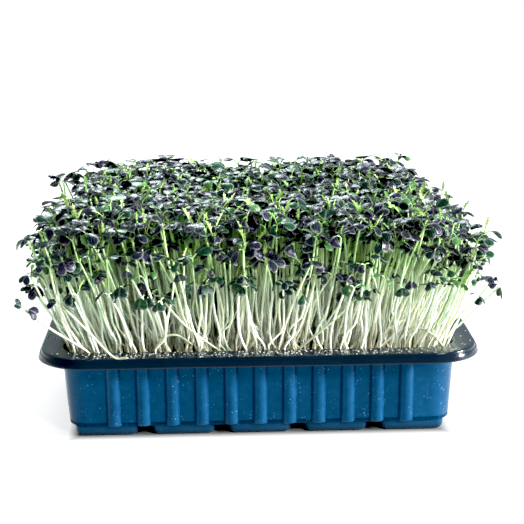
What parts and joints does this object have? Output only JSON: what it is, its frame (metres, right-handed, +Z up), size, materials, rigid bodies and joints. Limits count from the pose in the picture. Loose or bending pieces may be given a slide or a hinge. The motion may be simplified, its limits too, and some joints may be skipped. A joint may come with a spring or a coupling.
{
  "type": "microgreens tray",
  "caption": "Ribbed plastic growing tray on low feet, filled with growing medium and a dense stand of thin-stemmed microgreens with notched green and purple leaves.",
  "frame": {"origin": "under the middle of the tray, on the surface that its feet stand on", "axes": "+Z up; +X along the tray's long side; -Y out of its front"},
  "size_m": [0.3195, 0.2228, 0.16],
  "materials": {
    "blue_plastic": "moulded, slightly glossy",
    "moist_medium": "moist, crumbly and fibrous",
    "green_sprout": "fresh, with a soft sheen",
    "purple_sprout": "fresh, with a soft sheen"
  },
  "bodies": {
    "root": {"tray": "blue_plastic", "growing_medium": "moist_medium", "sprouts_1_1": "green_sprout", "sprouts_1_2": "purple_sprout", "sprouts_1_3": "green_sprout", "sprouts_1_4": "purple_sprout", "sprouts_1_5": "green_sprout", "sprouts_1_6": "purple_sprout", "sprouts_1_7": "green_sprout", "sprouts_1_8": "purple_sprout", "sprouts_2_1": "purple_sprout", "sprouts_2_2": "green_sprout", "sprouts_2_3": "purple_sprout", "sprouts_2_4": "green_sprout", "sprouts_2_5": "purple_sprout", "sprouts_2_6": "green_sprout", "sprouts_2_7": "purple_sprout", "sprouts_2_8": "green_sprout", "sprouts_3_1": "green_sprout", "sprouts_3_2": "purple_sprout", "sprouts_3_3": "green_sprout", "sprouts_3_4": "purple_sprout", "sprouts_3_5": "green_sprout", "sprouts_3_6": "purple_sprout", "sprouts_3_7": "green_sprout", "sprouts_3_8": "purple_sprout", "sprouts_4_1": "purple_sprout", "sprouts_4_2": "green_sprout", "sprouts_4_3": "purple_sprout", "sprouts_4_4": "green_sprout", "sprouts_4_5": "purple_sprout", "sprouts_4_6": "green_sprout", "sprouts_4_7": "purple_sprout", "sprouts_4_8": "green_sprout", "sprouts_5_1": "green_sprout", "sprouts_5_2": "purple_sprout", "sprouts_5_3": "green_sprout", "sprouts_5_4": "purple_sprout", "sprouts_5_5": "green_sprout", "sprouts_5_6": "purple_sprout", "sprouts_5_7": "green_sprout", "sprouts_5_8": "purple_sprout"}
  },
  "joints": []
}
